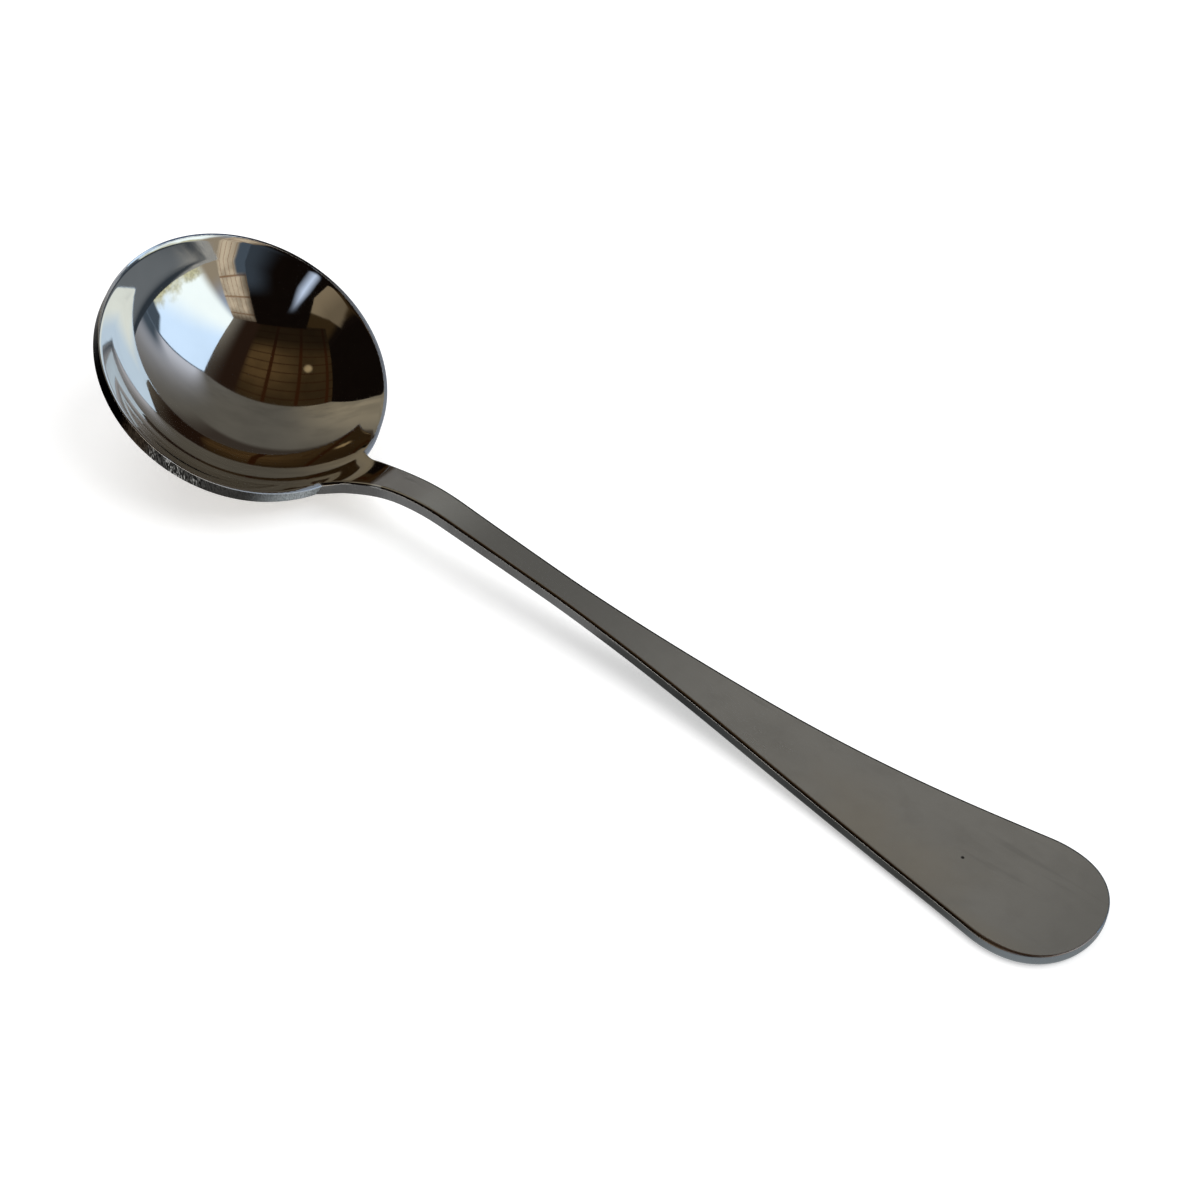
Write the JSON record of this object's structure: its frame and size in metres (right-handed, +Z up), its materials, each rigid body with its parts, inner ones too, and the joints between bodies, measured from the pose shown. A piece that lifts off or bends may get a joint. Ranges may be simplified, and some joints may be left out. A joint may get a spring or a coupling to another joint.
{
  "type": "cupping spoon",
  "caption": "Steel tasting spoon with a deep round bowl, a ground rim, a cranked neck and a flat handle that widens to a rounded end.",
  "frame": {"origin": "on the table, under the middle of the spoon's bounding box", "axes": "+X from the bowl along the handle, +Y across it, +Z up from the table that the spoon lies on"},
  "size_m": [0.1704, 0.045, 0.0258],
  "materials": {
    "bowl_steel": "mirror polished, with a ground rim",
    "handle_steel": "polished, with fine lengthwise marks"
  },
  "bodies": {
    "root": {"bowl": "bowl_steel", "handle": "handle_steel"}
  },
  "joints": []
}
